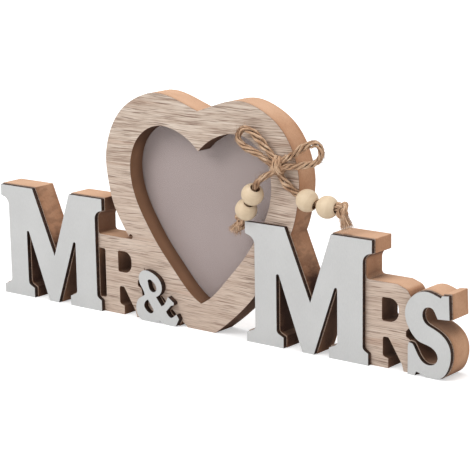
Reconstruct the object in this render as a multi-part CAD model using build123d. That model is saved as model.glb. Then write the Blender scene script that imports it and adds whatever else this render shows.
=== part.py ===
from build123d import *
import os
from math import tan, radians

# A free-standing photo frame: a heart with a picture window, standing in a row of
# cut-out letters that are all one board. Millimetres, Z up, the base at z = 0,
# x = 0 at mid-length and y = 0 at mid-depth. The front faces -Y.

# Board, its printed oak face and the plates glued on the front
board_thickness = 17.5
face_thickness = 0.5
plate_thickness = 3.0
ampersand_thickness = 4.0
edge_margin = 0.6

# How shapes are drawn: cutters run past what they cut, soft edges get this many steps
overrun = 5.0
soft_steps = 24
quarter_turn = 90
bend_share = 0.45
corner_share = 0.95

# Large slab-serif letter, used twice
m_width = 98.2
m_height = 80.0
m_serif_bracket = 6.2
m_foot_bracket = 3.0
m_counter_radius = 1.2

# Smaller letter beside each large one, cut in the board only
r_width = 35.0
r_height = 54.5
r_leg_width = 36.0
r_foot_bracket = 2.0
r_slot_radius = 1.4
r_counter_radius = 6.4
r_bowl_radius = 5.0
r_waist_radius = 1.3
serif_overlap = 1.5
slot_bottom = 10.0
slot_top = 44.8
corner_radius = 2.4
notch_radius = 1.7
notch_reach = 0.4

# Last letter and the sign between the letters
s_width = 32.3
s_height = 53.7
ampersand_width = 37.6
ampersand_height = 35.6

# Heart, the ring of board round its window, and the rebate behind the window
heart_width = 162.4
heart_height = 157.0
ring_side = 21.8
ring_top = 21.7
ring_bottom = 18.3
rebate_ledge = 6.0
rebate_depth = 5.4
sheet_clearance = 0.4
clear_sheet_thickness = 1.0
photo_sheet_thickness = 0.3
back_board_thickness = 4.0

# Places along the row, each measured from its neighbour
heart_gap = 2.3
heart_overlap = 41.0
left_slot_width = 6.365
right_slot_width = 0.665
ampersand_inset = 27.4
s_gap = 23.5

# Turn buttons and their screws on the back
button_length = 22.0
button_width = 9.0
button_thickness = 1.0
button_gap = 0.2
screw_diameter = 3.0
screw_clearance = 0.2
thread_clearance = 0.05
screw_length = 12.0
screw_head_diameter = 6.6
screw_head_height = 1.8
head_bite = 0.5
head_round = 1.1
cross_length = 4.1
cross_width = 0.9
cross_depth = 0.9

# Jute bow and wooden beads
twine_diameter = 3.6
bow_knot_diameter = 7.6
bow_knot_height = 12.0
knot_bite = 0.2
bead_diameter = 14.5
bead_bore = 5.8
bead_gap = 0.6
bead_seat_gap = 0.7
bead_edge = 0.5
end_knot_diameter = 6.6
end_knot_height = 8.6
knot_round_share = 0.4
knot_stop = 3.7
tuft_diameter = 7.6
tuft_neck_diameter = 3.4
bead_slide = 5.0

# Depth of the whole stack, from the front of the thickest plate to the screw heads
front_stack = max(plate_thickness, ampersand_thickness)
back_stack = button_gap + button_thickness + button_gap + screw_head_height
depth = front_stack + face_thickness + board_thickness + back_stack
face_y = front_stack - depth / 2
board_y = face_y + face_thickness
back_y = board_y + board_thickness
rebate_y = back_y - rebate_depth

# Length of the row, and where each piece starts
length = 2 * m_width + heart_gap + heart_width - heart_overlap + s_gap + s_width
left_m_x = -length / 2
heart_x = left_m_x + m_width + heart_gap
heart_mid = heart_x + heart_width / 2
right_m_x = heart_x + heart_width - heart_overlap
s_x = right_m_x + m_width + s_gap
m_stem_share = 0.925
left_stem_x = left_m_x + m_stem_share * m_width
right_stem_x = right_m_x + m_stem_share * m_width
left_r_x = left_stem_x + left_slot_width
right_r_x = right_stem_x + right_slot_width
ampersand_x = heart_x + ampersand_inset

# The window is what the ring leaves of the heart
window_width = heart_width - 2 * ring_side
window_height = heart_height - ring_top - ring_bottom

# The bracket under a top serif is never wider than the serif that it carries
m_bracket = min(m_serif_bracket, corner_share * (1 - m_stem_share) * m_width)

# Outline of the large letter: share of the width, share of the height, corner radius
m_shares = [
    (0.005, 0.0, 0), (0.306, 0.0, 0), (0.306, 0.09, 0), (0.25, 0.122, m_foot_bracket),
    (0.25, 0.675, m_counter_radius), (0.457, 0.0, 0), (0.547, 0.0, 0),
    (0.732, 0.652, m_counter_radius), (0.732, 0.12, m_foot_bracket), (0.668, 0.086, 0),
    (0.668, 0.0, 0), (0.967, 0.0, 0), (0.967, 0.096, 0), (m_stem_share, 0.126, m_foot_bracket),
    (m_stem_share, 0.875, m_bracket), (0.993, 0.897, 0), (0.993, 1.0, 0), (0.682, 1.0, 0),
    (0.521, 0.42, 0), (0.32, 1.0, 0), (0.0, 1.0, 0), (0.0, 0.903, 0),
    (0.076, 0.875, m_bracket), (0.076, 0.118, m_foot_bracket), (0.005, 0.08, 0),
]

# Outline of the smaller letter from its foot, right of its stem
r_foot_shares = [
    (0.465, 0.0, 0), (0.465, 0.115, 0), (0.35, 0.135, r_foot_bracket), (0.35, 0.365, r_slot_radius),
    (0.47, 0.365, r_slot_radius), (0.75, 0.08, r_foot_bracket), (0.785, 0.0, 0),
]
r_bowl_shares = [
    (0.92, 0.38, r_waist_radius), (0.83, 0.41, r_waist_radius), (0.83, 0.475, r_waist_radius),
    (0.89, 0.515, 0), (1.0, 0.56, r_waist_radius), (1.0, 0.8, r_bowl_radius),
    (0.85, 0.955, r_bowl_radius), (0.64, 1.0, r_bowl_radius),
]
r_counter_shares = [
    (0.33, 0.55, r_slot_radius), (0.68, 0.55, r_counter_radius),
    (0.68, 0.826, r_counter_radius), (0.33, 0.826, r_slot_radius),
]

# Outline of the last letter in strokes; a soft stroke is one smooth curve
s_bottom_shares = [
    (0.25, 0.05), (0.325, 0.04), (0.48, 0.008), (0.605, 0.0), (0.735, 0.01), (0.855, 0.055),
    (0.955, 0.155), (1.0, 0.295), (0.955, 0.425), (0.79, 0.535), (0.555, 0.6), (0.44, 0.638),
    (0.38, 0.73), (0.44, 0.81), (0.515, 0.825), (0.58, 0.82), (0.64, 0.785), (0.71, 0.705),
]
s_serif_shares = [(0.71, 0.705), (0.965, 0.715), (0.945, 0.99), (0.8, 0.98), (0.775, 0.95)]
s_top_shares = [
    (0.775, 0.95), (0.58, 0.99), (0.48, 1.0), (0.27, 0.97), (0.095, 0.88), (0.0, 0.745),
    (0.03, 0.615), (0.12, 0.515), (0.295, 0.415), (0.53, 0.375), (0.67, 0.325), (0.72, 0.25),
    (0.685, 0.195), (0.53, 0.153), (0.39, 0.18), (0.26, 0.28), (0.17, 0.37),
]
s_spur_shares = [(0.17, 0.37), (0.085, 0.38), (0.065, 0.335), (0.065, 0.0), (0.22, 0.0), (0.25, 0.05)]

# Outline of the sign between the letters, from its waist on the right
ampersand_arm_shares = [
    (0.47, 0.515), (0.6, 0.35), (0.66, 0.385), (0.705, 0.455), (0.755, 0.56), (0.89, 0.46),
    (0.885, 0.415), (0.82, 0.395), (0.705, 0.265),
]
ampersand_leg_shares = [(0.705, 0.265), (0.735, 0.215), (0.82, 0.16), (0.885, 0.195), (0.945, 0.245)]
ampersand_foot_shares = [(0.945, 0.245), (1.0, 0.16), (0.925, 0.012)]
ampersand_base_shares = [(0.925, 0.012), (0.78, 0.0), (0.65, 0.015), (0.555, 0.055)]
ampersand_bowl_shares = [
    (0.555, 0.055), (0.48, 0.018), (0.375, 0.0), (0.15, 0.0), (0.04, 0.07), (0.0, 0.18),
    (0.0, 0.28), (0.05, 0.4), (0.13, 0.465), (0.205, 0.51),
]
ampersand_head_shares = [
    (0.205, 0.51), (0.165, 0.62), (0.105, 0.71), (0.075, 0.82), (0.105, 0.925), (0.19, 0.99),
    (0.28, 1.0), (0.41, 0.965), (0.53, 0.89), (0.6, 0.79), (0.615, 0.69), (0.58, 0.595),
    (0.47, 0.515),
]
ampersand_eye_shares = [
    (0.285, 0.8), (0.32, 0.835), (0.41, 0.8), (0.48, 0.725), (0.485, 0.65), (0.43, 0.6),
    (0.36, 0.61), (0.31, 0.69), (0.285, 0.8),
]
ampersand_gap_shares = [(0.28, 0.43), (0.4, 0.265)]
ampersand_moon_shares = [
    (0.4, 0.265), (0.4, 0.2), (0.34, 0.17), (0.24, 0.215), (0.19, 0.29), (0.22, 0.385), (0.28, 0.43),
]

# Right half of the heart and of its window, from the cleft round to the tip
heart_shares = [
    (0.0, 0.94), (0.22, 0.98), (0.445, 1.0), (0.64, 0.972), (0.8, 0.92), (0.91, 0.85),
    (0.975, 0.77), (1.0, 0.695), (0.985, 0.61), (0.925, 0.49), (0.775, 0.362), (0.55, 0.19),
    (0.395, 0.106), (0.145, 0.0),
]
window_shares = [
    (0.0, 0.88), (0.16, 0.945), (0.335, 0.985), (0.54, 1.0), (0.77, 0.962), (0.935, 0.87),
    (1.0, 0.75), (0.98, 0.64), (0.915, 0.545), (0.75, 0.4), (0.59, 0.288), (0.42, 0.19),
    (0.255, 0.098), (0.12, 0.036), (0.0, 0.0),
]

# Seats of the turn buttons, each on a line across the ring: shares of the window's half width
# and height, shares of the heart's, share of the way out, and the way the button points
button_seat_shares = [
    (1.0, 0.756, 1.0, 0.68, 0.6275, 180), (0.747, 0.398, 0.752, 0.3445, 0.6, 147),
    (-0.747, 0.398, -0.752, 0.3445, 0.6, 33), (-1.0, 0.756, -1.0, 0.68, 0.6275, 0),
]
knot_seat_shares = (0.836, 0.7605)
notch_share = (0.752, 0.347)

# Routes of the twine, in millimetres from the middle of the bow knot
loop_left_route = [
    (-2.5, -0.2, 4.2), (-8.2, -0.8, 9.4), (-14.6, -0.6, 15.6), (-20.5, -0.7, 20.4),
    (-26.0, -1.6, 21.6), (-29.8, -3.0, 17.8), (-27.6, -4.4, 12.9), (-21.5, -5.0, 9.8),
    (-14.0, -4.4, 7.4), (-8.0, -3.0, 3.6), (-2.5, -1.4, -0.4),
]
loop_right_route = [
    (1.2, -0.3, 2.3), (8.0, -1.0, 5.4), (14.8, -1.4, 9.8), (21.6, -2.2, 14.2),
    (28.4, -3.0, 17.2), (34.2, -3.9, 16.6), (37.2, -4.7, 12.0), (35.0, -5.2, 7.2),
    (28.8, -4.6, 4.2), (20.0, -3.4, 2.2), (10.5, -2.0, 0.6), (1.2, -0.6, -1.6),
]
tail_left_route = [(-1.5, -1.0, -3.6), (-5.2, -3.4, -5.8), (-10.9, -7.0, -9.6), (-33.3, 4.4, -39.8)]
tail_right_route = [
    (1.5, -0.6, -4.0), (3.4, -0.6, -8.6), (7.6, -0.2, -12.4), (14.0, 1.2, -17.4),
    (28.4, 1.6, -22.4), (45.2, 2.7, -22.6),
]
tuft_left_reach = (-2.0, -0.4, -9.0)
tuft_right_reach = (2.0, 2.4, -12.0)
knot_right_drop = (2.4, 0.9, -2.2)


# Outlines
def placed(shares, left, bottom, width, height):
    """Turn shares of a width and a height into points."""
    return [(left + share[0] * width, bottom + share[1] * height) for share in shares]


def cut_outline(points, radii):
    """Close a straight-sided outline with its corners rounded."""
    return make_face(FilletPolyline(*points, radius=radii, close=True))


def drawn_outline(strokes):
    """Close an outline from strokes, each a pair: whether it is soft, and its points."""
    return make_face(Curve() + [Spline(*pts) if soft else Polyline(*pts) for soft, pts in strokes])


def grown(outline, margin):
    """The outline moved outwards, with its soft edges drawn again as plain splines."""
    edges = Curve()
    for edge in offset(outline, margin).face().outer_wire().edges():
        if edge.geom_type in (GeomType.LINE, GeomType.CIRCLE):
            edges += edge
        else:
            edges += Spline(*[edge @ (step / soft_steps) for step in range(soft_steps + 1)])
    return make_face(edges)


def big_letter(left):
    """Outline of the large letter."""
    points = placed(m_shares, left, 0, m_width, m_height)
    return cut_outline(points, [share[2] for share in m_shares])


def small_letter(stem_x, neighbour_x):
    """Outline of the smaller letter, whose two serifs run on to the letter on its left."""
    foot = placed(r_foot_shares, stem_x, 0, r_width, r_height)
    bowl = placed(r_bowl_shares, stem_x, 0, r_width, r_height)
    serif_x = neighbour_x - serif_overlap
    slot = [(serif_x, r_height), (serif_x, slot_top), (stem_x, slot_top),
            (stem_x, slot_bottom), (serif_x, slot_bottom), (serif_x, 0)]
    slot_radii = [0, 0, r_slot_radius, r_slot_radius, 0, 0]
    radii = [share[2] for share in r_foot_shares] + [0] + [share[2] for share in r_bowl_shares]
    points = foot + [(stem_x + r_leg_width, 0)] + bowl + slot
    counter = cut_outline(placed(r_counter_shares, stem_x, 0, r_width, r_height),
                          [share[2] for share in r_counter_shares])
    return cut_outline(points, radii + slot_radii) - counter


def corner_web(stem_x):
    """The rounded inner corner where the smaller letter's top meets the large one's stem."""
    reach = corner_radius + edge_margin
    middle = Pos(stem_x + reach, r_height + corner_radius)
    block = Pos(stem_x + reach / 2, r_height + corner_radius / 2) * Rectangle(reach, corner_radius)
    return block - middle * Circle(corner_radius)


def notch():
    """The round end of the notch between the smaller letter's top and the heart."""
    x_share, z_share = notch_share
    tip = Pos(heart_mid - x_share * heart_width / 2, z_share * heart_height)
    return tip * Pos(notch_reach, notch_radius) * Circle(notch_radius)


def last_letter():
    """Outline of the last letter."""
    place = (s_x, 0, s_width, s_height)
    return drawn_outline([
        (True, placed(s_bottom_shares, *place)),
        (False, placed(s_serif_shares, *place)),
        (True, placed(s_top_shares, *place)),
        (False, placed(s_spur_shares, *place)),
    ])


def ampersand():
    """Outline of the sign between the letters, before its two eyes are cut."""
    place = (ampersand_x, 0, ampersand_width, ampersand_height)
    return drawn_outline([
        (False, placed(ampersand_arm_shares, *place)),
        (True, placed(ampersand_leg_shares, *place)),
        (False, placed(ampersand_foot_shares, *place)),
        (True, placed(ampersand_base_shares, *place)),
        (True, placed(ampersand_bowl_shares, *place)),
        (True, placed(ampersand_head_shares, *place)),
    ])


def ampersand_eyes():
    """The two openings of that sign."""
    place = (ampersand_x, 0, ampersand_width, ampersand_height)
    eye = drawn_outline([(True, placed(ampersand_eye_shares, *place))])
    moon = drawn_outline([
        (False, placed(ampersand_gap_shares, *place)),
        (True, placed(ampersand_moon_shares, *place)),
    ])
    return eye + moon


def heart(shares, bottom, width, height):
    """A symmetric heart whose two halves meet on its middle line."""
    right = placed(shares, heart_mid, bottom, width / 2, height)
    left = placed(shares, heart_mid, bottom, -width / 2, height)[::-1]
    strokes = [(True, right), (True, left)]
    if right[-1] != left[0]:
        strokes.insert(1, (False, [right[-1], left[0]]))
    return drawn_outline(strokes)


# Solids
def slab(face, front, thickness):
    """Stand a flat outline up, with its front at y = front."""
    return Pos(0, front + thickness, 0) * Rot(quarter_turn, 0, 0) * extrude(face, amount=thickness)


def save(shape, node):
    """Write one node."""
    export_step(shape, f"parts/{node}.step")


def seat(point):
    """A point given from the middle of the bow knot, in the part's frame."""
    return knot_middle + Vector(*point)


def bend_radii(points):
    """One radius for each corner of a twine's route, as large as its two runs allow."""
    radii = []
    for before, corner, after in zip(points, points[1:], points[2:]):
        turn = (corner - before).get_angle(after - corner)
        shorter = min((corner - before).length, (after - corner).length)
        radii.append(bend_share * shorter / tan(radians(turn) / 2))
    return radii


def twine(name, route):
    """A tube of twine along a route."""
    points = [seat(point) for point in route]
    radii = bend_radii(points)
    path = FilletPolyline(*points, radius=radii)
    section = Plane(origin=path @ 0, z_dir=path % 0) * Circle(twine_diameter / 2)
    tube = sweep(section, path=path)
    share = tube.volume / (section.area * path.length)
    print(name, "length", round(path.length, 1), "radii", [round(r, 1) for r in radii],
          "volume share", round(share, 4))
    return tube


def bead(middle, axis):
    """A wooden bead with its bore along the axis."""
    ball = Sphere(bead_diameter / 2) - Cylinder(bead_bore / 2, bead_diameter + overrun)
    rims = ball.edges().filter_by(GeomType.CIRCLE)
    ball = fillet(rims, bead_edge)
    return Plane(origin=middle, z_dir=axis) * ball


def hung(point, run):
    """The middle of a bead whose bore hangs on the twine at a point."""
    down = Vector(0, 0, -1)
    aside = (down - run * down.dot(run)).normalized()
    return point + aside * ((bead_bore - twine_diameter) / 2 - bead_seat_gap)


def lump(diameter, height):
    """A knot of wrapped twine on the Z axis, rounded at both ends."""
    body = Cylinder(diameter / 2, height)
    return fillet(body.edges().filter_by(GeomType.CIRCLE), diameter * knot_round_share)


def tail_end(middle, reach):
    """A knot with the frayed end of the twine below it."""
    knot = Pos(*middle) * lump(end_knot_diameter, end_knot_height)
    way = Vector(*reach)
    neck = Plane(origin=middle, z_dir=way) * Circle(tuft_neck_diameter / 2)
    brush = Plane(origin=middle + way, z_dir=way) * Circle(tuft_diameter / 2)
    return knot + loft([neck, brush])


os.makedirs("parts", exist_ok=True)

# Board and its face
window = heart(window_shares, ring_bottom, window_width, window_height)
left_m = big_letter(left_m_x)
right_m = big_letter(right_m_x)
above_base = Pos(0, heart_height / 2) * Rectangle(length + overrun, heart_height)
last = last_letter() & above_base
sign = ampersand() & above_base
row = heart(heart_shares, 0, heart_width, heart_height)
row += small_letter(left_r_x, left_stem_x) + small_letter(right_r_x, right_stem_x)
for plate in (left_m, right_m, last, sign):
    row += grown(plate, edge_margin)
row += corner_web(left_stem_x) + corner_web(right_stem_x)
row = (row & above_base) - window - notch()
rebate = grown(window, rebate_ledge)
board = slab(row, board_y, board_thickness) - slab(rebate, rebate_y, rebate_depth + overrun)

# Turn buttons and screws, each placed on the ring of the heart
button_y = back_y + button_gap
head_y = button_y + button_thickness + button_gap
blank = Pos((button_length - button_width) / 2) * SlotOverall(button_length, button_width)
blank -= Circle(screw_diameter / 2 + screw_clearance)
shank_y = back_y - screw_length
shank = slab(Circle(screw_diameter / 2), shank_y, head_y + head_bite - shank_y)
head = slab(Circle(screw_head_diameter / 2), head_y, screw_head_height)
head = fillet(head.edges().group_by(Axis.Y)[-1], head_round)
cross = Rectangle(cross_length, cross_width) + Rectangle(cross_width, cross_length)
screw = shank + head - slab(cross, head_y + screw_head_height - cross_depth, cross_depth + overrun)
pilot = slab(Circle(screw_diameter / 2 + thread_clearance), shank_y, screw_length + overrun)
screws = []
for number, (win_x, win_z, heart_x_share, heart_z_share, out, turn) in enumerate(button_seat_shares, 1):
    inner = Vector(heart_mid + win_x * window_width / 2, 0, ring_bottom + win_z * window_height)
    outer = Vector(heart_mid + heart_x_share * heart_width / 2, 0, heart_z_share * heart_height)
    spot = Pos(inner + (outer - inner) * out)
    save(spot * slab(Rot(0, 0, turn) * blank, button_y, button_thickness), f"turn_button_{number}")
    screws.append(spot * screw)
    board -= spot * pilot
    print("turn button", number, "pivot", [round(v, 3) for v in spot.position])
save(Compound(children=screws), "button_screws")
save(board, "frame_block")
save(slab(row, face_y, face_thickness), "oak_face")

# Plates on the front
plate_y = face_y - plate_thickness
save(slab(left_m, plate_y, plate_thickness), "plate_m_left")
save(slab(right_m, plate_y, plate_thickness), "plate_m_right")
save(slab(last, plate_y, plate_thickness), "plate_s")
save(slab(sign - ampersand_eyes(), face_y - ampersand_thickness, ampersand_thickness), "plate_ampersand")

# Sheets and board in the rebate
sheet = grown(window, rebate_ledge - sheet_clearance)
photo_y = rebate_y + clear_sheet_thickness
save(slab(sheet, rebate_y, clear_sheet_thickness), "clear_sheet")
save(slab(sheet, photo_y, photo_sheet_thickness), "photo_sheet")
save(slab(sheet, photo_y + photo_sheet_thickness, back_board_thickness), "back_board")

# Bow knot, flat where it is glued to the face
knot_middle = Vector(
    heart_mid + knot_seat_shares[0] * heart_width / 2,
    face_y - bow_knot_diameter / 2 + knot_bite,
    knot_seat_shares[1] * heart_height,
)
behind_face = Box(bow_knot_height, bow_knot_diameter, bow_knot_height + overrun)
knot = lump(bow_knot_diameter, bow_knot_height)
knot = Pos(*knot_middle) * (knot - Pos(0, bow_knot_diameter - knot_bite) * behind_face)
save(knot, "bow_knot")
save(twine("loop left", loop_left_route) - knot, "bow_loop_left")
save(twine("loop right", loop_right_route) - knot, "bow_loop_right")

# Left tail: both beads hang on its last straight run, against the end knot
left_run = (seat(tail_left_route[-1]) - seat(tail_left_route[-2])).normalized()
left_end = seat(tail_left_route[-1])
bead_step = bead_diameter + bead_gap
left_lower = hung(left_end - left_run * (bead_diameter / 2 + knot_stop), left_run)
left_upper = left_lower - left_run * bead_step
left_tail_end = tail_end(left_end, tuft_left_reach)
save(left_tail_end, "tail_end_left")
save(twine("tail left", tail_left_route) - knot - left_tail_end, "tail_left")
save(bead(left_lower, left_run), "bead_left_lower")
save(bead(left_upper, left_run), "bead_left_upper")

# Right tail: one bead on each side of the bend before its end
bend = seat(tail_right_route[-2])
run_in = (bend - seat(tail_right_route[-3])).normalized()
run_out = (seat(tail_right_route[-1]) - bend).normalized()
right_inner = hung(bend - run_in * bead_step / 2, run_in)
right_outer = hung(bend + run_out * bead_step / 2, run_out)
right_end = seat(tail_right_route[-1]) + Vector(*knot_right_drop)
right_tail_end = tail_end(right_end, tuft_right_reach)
save(right_tail_end, "tail_end_right")
save(twine("tail right", tail_right_route) - knot - right_tail_end, "tail_right")
save(bead(right_inner, run_in), "bead_right_inner")
save(bead(right_outer, run_out), "bead_right_outer")

# Places that the record repeats
for name, point in (("left upper", left_upper), ("left lower", left_lower),
                    ("right inner", right_inner), ("right outer", right_outer)):
    print("bead", name, [round(v, 3) for v in point])
print("left run", [round(v, 5) for v in left_run], "slide", bead_slide)
print("right runs", [round(v, 5) for v in run_in], [round(v, 5) for v in run_out])
print("length", length, "depth", depth, "face", face_y, "board", board_y, "back", back_y,
      "rebate", rebate_y, "knot", [round(v, 3) for v in knot_middle], "heart", heart_mid)
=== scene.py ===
"""Looks for a free-standing photo frame: a heart with a window in a row of cut-out letters."""

import logging
import math
from dataclasses import dataclass, field, replace
from enum import Enum
from typing import Any, Callable, Mapping, Sequence

import bpy
import numpy as np
from mathutils import Matrix, Vector


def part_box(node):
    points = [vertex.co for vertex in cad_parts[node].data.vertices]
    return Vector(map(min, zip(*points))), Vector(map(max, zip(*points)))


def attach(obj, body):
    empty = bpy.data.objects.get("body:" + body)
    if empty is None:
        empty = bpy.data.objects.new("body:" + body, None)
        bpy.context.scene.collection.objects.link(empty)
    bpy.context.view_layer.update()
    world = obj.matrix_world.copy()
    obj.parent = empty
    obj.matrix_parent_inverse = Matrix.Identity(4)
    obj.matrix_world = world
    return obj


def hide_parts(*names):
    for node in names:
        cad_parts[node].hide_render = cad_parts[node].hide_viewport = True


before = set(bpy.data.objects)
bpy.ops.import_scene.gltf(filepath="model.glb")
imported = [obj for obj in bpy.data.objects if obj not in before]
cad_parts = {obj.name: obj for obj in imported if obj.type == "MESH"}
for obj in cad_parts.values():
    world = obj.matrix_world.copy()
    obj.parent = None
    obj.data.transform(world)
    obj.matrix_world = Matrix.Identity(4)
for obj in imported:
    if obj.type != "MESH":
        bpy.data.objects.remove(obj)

LOG = logging.getLogger("heart_frame")
MM = 0.001
FULL_TURN = 2.0 * math.pi
GOLDEN_ANGLE = 2.39996
ROOT_BODY = "frame"

Band = tuple[float, float]
Triple = tuple[float, float, float]
Colour = tuple[float, float, float, float]
Value = Any
Array = np.ndarray
Material = bpy.types.Material
Piece = bpy.types.Object

WHITE: Colour = (1.0, 1.0, 1.0, 1.0)


def srgb(red: int, green: int, blue: int) -> Colour:
    """Turn a colour as it is seen, 0 to 255, into the linear one that a shader takes.

    Args:
        red: Red share, 0 to 255.
        green: Green share, 0 to 255.
        blue: Blue share, 0 to 255.

    Returns:
        The linear colour with full alpha.
    """
    shares = np.array((red, green, blue), float) / 255.0
    linear = np.where(shares <= 0.04045, shares / 12.92, ((shares + 0.055) / 1.055) ** 2.4)
    return (*(float(c) for c in linear), 1.0)


def placed(name: str, data: bpy.types.ID) -> Piece:
    """Make an object of a mesh, a lamp or a camera, and link it to the scene.

    Args:
        name: Name of the object.
        data: What it shows.

    Returns:
        The object.
    """
    made = bpy.data.objects.new(name, data)
    bpy.context.scene.collection.objects.link(made)
    return made


def points_of(mesh: bpy.types.Mesh) -> Array:
    """Give a mesh's points, one to a row.

    Args:
        mesh: The mesh.

    Returns:
        Its points.
    """
    points = np.empty(len(mesh.vertices) * 3)
    mesh.vertices.foreach_get("co", points)
    return points.reshape(-1, 3)


# --- Shader graphs ---


def math_method(operation: str, swapped: bool = False) -> Callable[..., "Signal"]:
    """Make a signal's method that adds one Math node.

    Args:
        operation: The node's operation.
        swapped: Whether the other value comes first.

    Returns:
        The method.
    """

    def method(self: "Signal", *other: Value) -> "Signal":
        """Add the node."""
        values = (*other, self) if swapped else (self, *other)
        return self.graph.node("ShaderNodeMath", {"operation": operation}, dict(enumerate(values)))

    return method


@dataclass(frozen=True)
class Signal:
    """An output socket that plain arithmetic works on: each operator adds one Math node.

    The method most gives the larger of two values, and above gives 1 over a limit, 0 elsewhere.
    """

    graph: "Graph"
    socket: bpy.types.NodeSocket

    __add__ = __radd__ = math_method("ADD")
    __sub__ = math_method("SUBTRACT")
    __rsub__ = math_method("SUBTRACT", swapped=True)
    __mul__ = __rmul__ = math_method("MULTIPLY")
    __truediv__ = math_method("DIVIDE")
    __abs__ = math_method("ABSOLUTE")
    most = math_method("MAXIMUM")
    above = math_method("GREATER_THAN")

    def fade(self, low: float, high: float) -> "Signal":
        """Give a smooth step from low to high, whichever of the two is the larger.

        Args:
            low: Value where the step is 0.
            high: Value where the step is 1.

        Returns:
            The step.
        """
        rising = low < high
        inputs = {"Value": self, "From Min": min(low, high), "From Max": max(low, high),
                  "To Min": 0.0 if rising else 1.0, "To Max": 1.0 if rising else 0.0}
        return self.graph.node("ShaderNodeMapRange", {"interpolation_type": "SMOOTHSTEP"}, inputs)

    def between(self, rise: Band, fall: Band) -> "Signal":
        """Give 1 in a band that one smooth step leads into and another leads out of."""
        return self.fade(*rise) * self.fade(*fall)


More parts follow.
